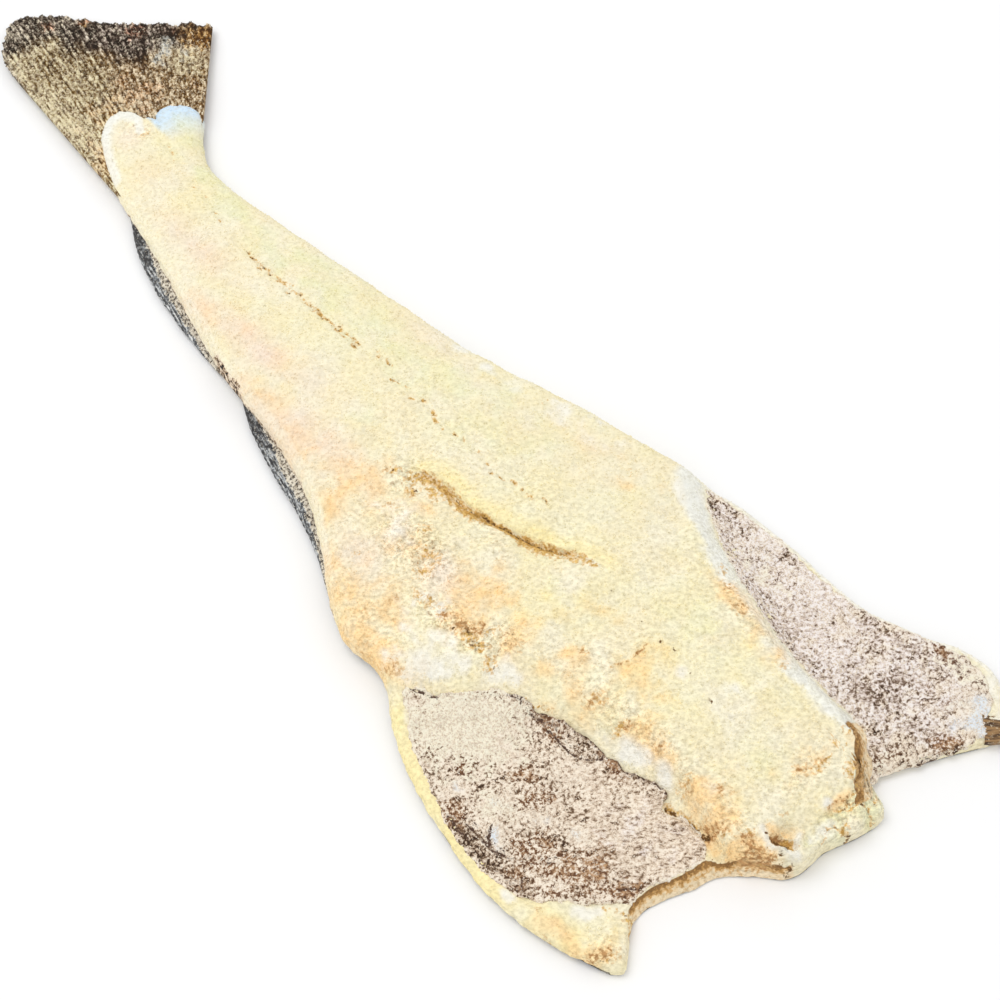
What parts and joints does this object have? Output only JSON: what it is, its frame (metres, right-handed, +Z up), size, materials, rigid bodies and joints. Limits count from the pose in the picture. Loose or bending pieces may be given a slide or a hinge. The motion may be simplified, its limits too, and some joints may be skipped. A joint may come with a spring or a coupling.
{
  "type": "salt cod",
  "caption": "Whole salted and dried cod, headless, split along the belly and opened flat, with its tail fin and belly flaps.",
  "frame": {"origin": "middle of the bounding box, on the plane that the fish lies on", "axes": "+Y along the fish, from the cut neck to the tail fin; +Z up, from the skin to the flesh; +X across it, to the right of someone who stands at the neck and looks to the tail"},
  "size_m": [0.262, 0.6914, 0.0285],
  "materials": {
    "salted_flesh": "matt, crusted with fine salt"
  },
  "bodies": {
    "root": {"salt_cod": "salted_flesh"}
  },
  "joints": []
}
